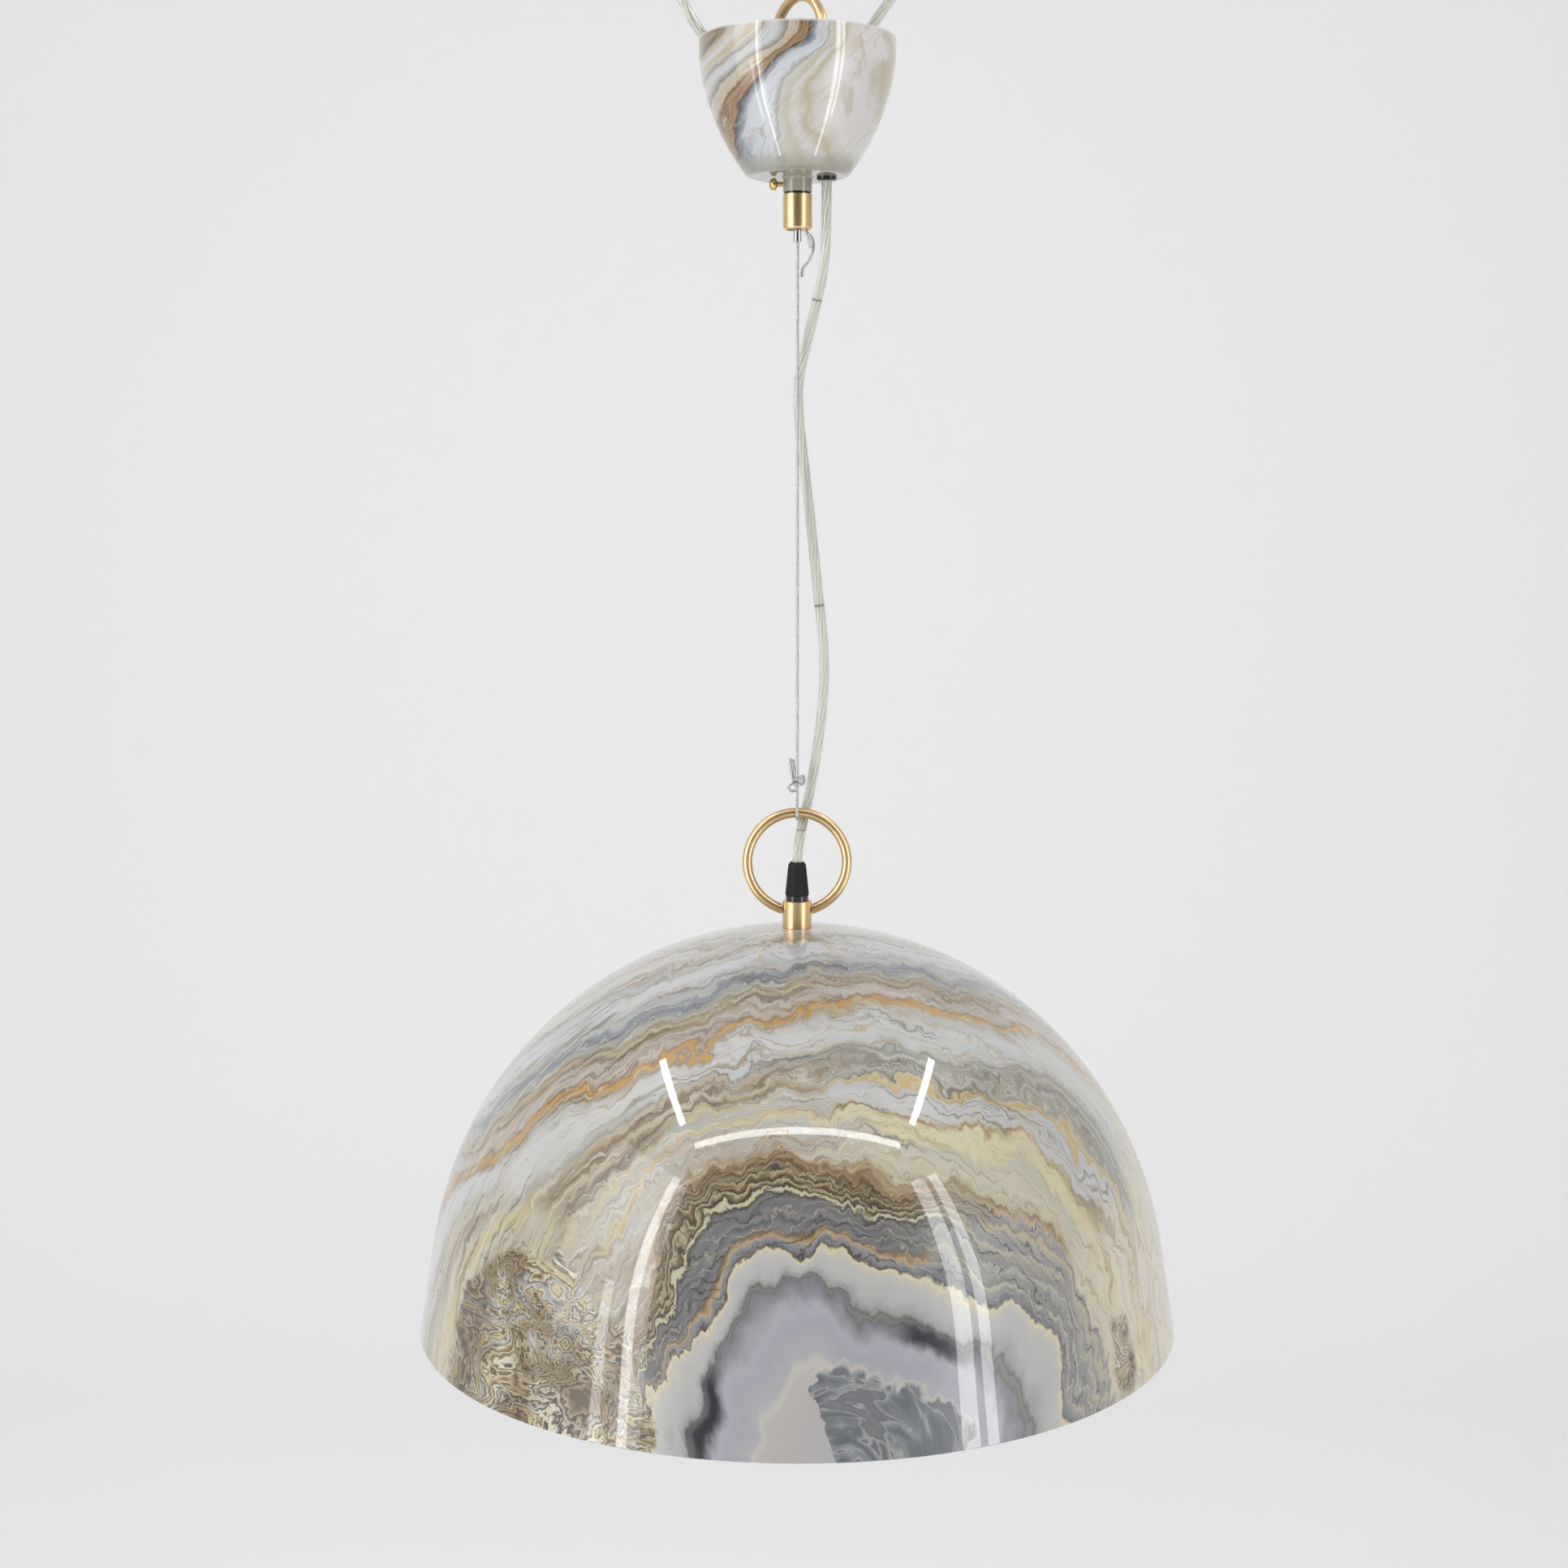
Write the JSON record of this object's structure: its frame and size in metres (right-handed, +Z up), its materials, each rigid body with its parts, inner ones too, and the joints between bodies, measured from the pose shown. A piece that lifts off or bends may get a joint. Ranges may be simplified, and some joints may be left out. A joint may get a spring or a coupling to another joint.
{
  "type": "pendant lamp",
  "caption": "Dome pendant lamp on a steel wire with a cup canopy, wire gripper, clear power cord, cord grip and two hanging rings.",
  "frame": {"origin": "the inner top of the hanging ring, where a ceiling hook bears", "axes": "+Z up along the wire, -Y towards the viewer of the picture, +X to the right"},
  "size_m": [0.4, 0.4, 0.7769],
  "materials": {
    "satin_gold": "satin champagne gold",
    "steel": "bright",
    "brass": "plain",
    "marble_shade": "marble print under clear gloss",
    "marble_canopy": "marble print under clear gloss",
    "clear_cord": "clear sheath over silvery strands",
    "core_sheath": "clear",
    "black_plastic": "gloss",
    "grey_grip": "fine ribs",
    "white_plastic": "matte",
    "porcelain": "glazed",
    "glass": "opal"
  },
  "bodies": {
    "hanging_ring": {"hanging_ring": "satin_gold"},
    "stem": {"head_boss": "satin_gold", "stem_tube": "steel", "stem_lock_nut": "steel", "neck_washer": "black_plastic", "gripper_sleeve": "satin_gold", "gripper_body": "steel", "gripper_spring": "steel", "wire_tail": "steel"},
    "canopy": {"canopy_cup": "marble_canopy", "cord_grommet": "black_plastic", "terminal_block": "white_plastic", "terminal_inserts": "brass", "terminal_screws": "steel", "cord_cores": "core_sheath", "power_cord_loop": "clear_cord", "power_cord_top": "clear_cord"},
    "neck_screw": {"neck_screw": "brass"},
    "plunger": {"gripper_plunger": "steel", "gripper_balls": "steel"},
    "wire": {"suspension_wire": "steel", "wire_knot": "steel", "power_cord_upper": "clear_cord", "power_cord_lower": "clear_cord"},
    "carrying_ring": {"carrying_ring": "satin_gold", "power_cord_end": "clear_cord"},
    "shade": {"shade_boss": "satin_gold", "cord_grip_cap": "grey_grip", "cord_grip_stud": "black_plastic", "cord_grip_collet": "black_plastic", "dome_shade": "marble_shade", "shade_washer": "steel", "earth_tag": "brass", "earth_screw": "brass", "shade_lock_nut": "steel", "shade_nipple": "steel", "power_cord_inner": "clear_cord", "lampholder_cap": "black_plastic", "lampholder_lock_screw": "steel", "lampholder_body": "black_plastic", "lampholder_insert": "porcelain", "centre_contact": "brass", "side_contact": "brass", "lampholder_terminals": "brass"},
    "bulb": {"bulb_cap": "steel", "bulb_insulator": "black_plastic", "bulb_contact": "steel", "bulb_globe": "glass"}
  },
  "joints": [
    {"name": "stem_tilt", "type": "hinge", "parent": "hanging_ring", "child": "stem", "pos_m": [0, 0, -0.0484], "axis": [0.5, -0.866, 0], "range_deg": [-20, 20]},
    {"name": "canopy_slide", "type": "slide", "parent": "stem", "child": "canopy", "axis": [0, 0, 1], "range_m": [0, 0.022], "deforming": ["power_cord_top"]},
    {"name": "neck_screw_turn", "type": "hinge", "parent": "canopy", "child": "neck_screw", "pos_m": [-0.0103, 0, -0.0899], "axis": [1, 0, 0], "range_deg": [0, 720]},
    {"name": "plunger_press", "type": "slide", "parent": "stem", "child": "plunger", "axis": [0, 0, 1], "range_m": [0, 0.002], "stiffness_N_per_m": 300, "springref_m": -0.003, "deforming": ["gripper_spring"]},
    {"name": "wire_swing", "type": "hinge", "parent": "stem", "child": "wire", "pos_m": [0, 0, -0.1186], "axis": [0, 1, 0], "range_deg": [-12, 12], "deforming": ["power_cord_upper"]},
    {"name": "carrying_ring_swing", "type": "hinge", "parent": "wire", "child": "carrying_ring", "pos_m": [0, 0, -0.41195], "axis": [1, 0, 0], "range_deg": [-30, 30], "deforming": ["power_cord_lower"]},
    {"name": "shade_tilt", "type": "hinge", "parent": "carrying_ring", "child": "shade", "pos_m": [0, 0, -0.463], "axis": [1, 0, 0], "range_deg": [-25, 25], "deforming": ["power_cord_end"]},
    {"name": "bulb_removal", "type": "slide", "parent": "shade", "child": "bulb", "axis": [0, 0, -1], "range_m": [0, 0.04]}
  ]
}
